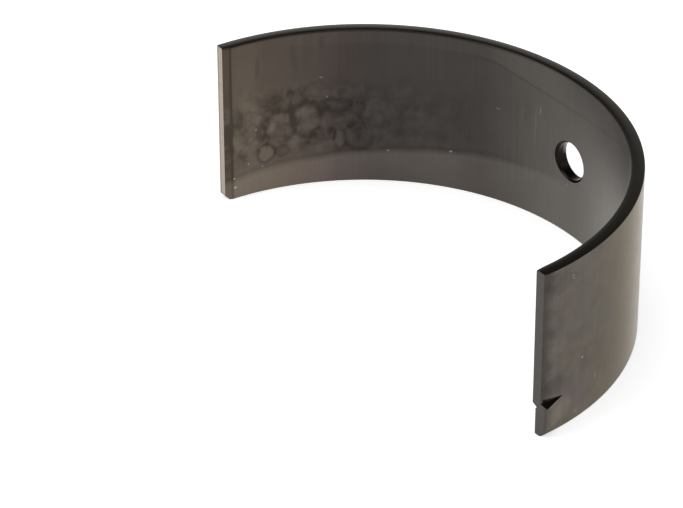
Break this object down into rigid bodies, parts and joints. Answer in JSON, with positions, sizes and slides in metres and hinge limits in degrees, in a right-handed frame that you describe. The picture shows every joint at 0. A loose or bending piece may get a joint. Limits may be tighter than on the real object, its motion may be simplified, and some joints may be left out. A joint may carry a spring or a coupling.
{
  "type": "engine bearing shell",
  "caption": "Half-round engine bearing shell with a smooth running face, an oil hole through the crown and a struck locating lug at a parting face.",
  "frame": {"origin": "on the bearing axis at mid-length", "axes": "+Z along the bearing axis, up as the shell stands on its rim; +Y towards the crown, which carries the oil hole; the lug is at the +X end"},
  "size_m": [0.0654, 0.0312, 0.0214],
  "materials": {
    "shell_metal": "dark satin, lightly stained"
  },
  "bodies": {
    "root": {"bearing_shell": "shell_metal"}
  },
  "joints": []
}
